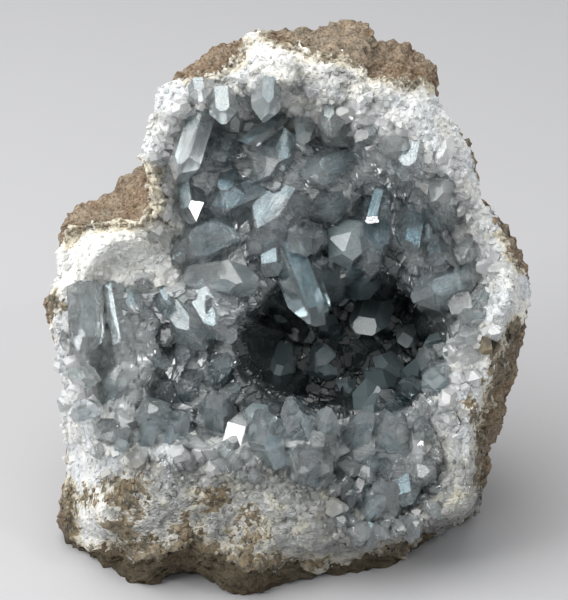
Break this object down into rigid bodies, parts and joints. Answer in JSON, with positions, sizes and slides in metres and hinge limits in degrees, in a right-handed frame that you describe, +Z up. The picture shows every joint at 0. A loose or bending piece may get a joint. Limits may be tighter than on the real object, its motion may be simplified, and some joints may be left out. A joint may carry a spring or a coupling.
{
  "type": "celestite crystal cluster",
  "caption": "Open geode piece that stands on its own flat foot: brown host rock round a thick white celestite wall, its hollow lined with blue-grey crystals.",
  "frame": {"origin": "a point on the flat foot, midway between its left and right sides as seen from the front", "axes": "+Z up; the open broken face looks towards -Y and leans back; +X to the viewer's right"},
  "size_m": [0.1734, 0.1472, 0.1799],
  "materials": {
    "host_rock": "rough, grainy and earthy",
    "celestite_wall": "sugary, with small glints",
    "crystal_crust": "clear to cloudy crystal with glassy faces"
  },
  "bodies": {
    "root": {"host_rock": "host_rock", "celestite_wall": "celestite_wall", "crystal_crust": "crystal_crust"}
  },
  "joints": []
}
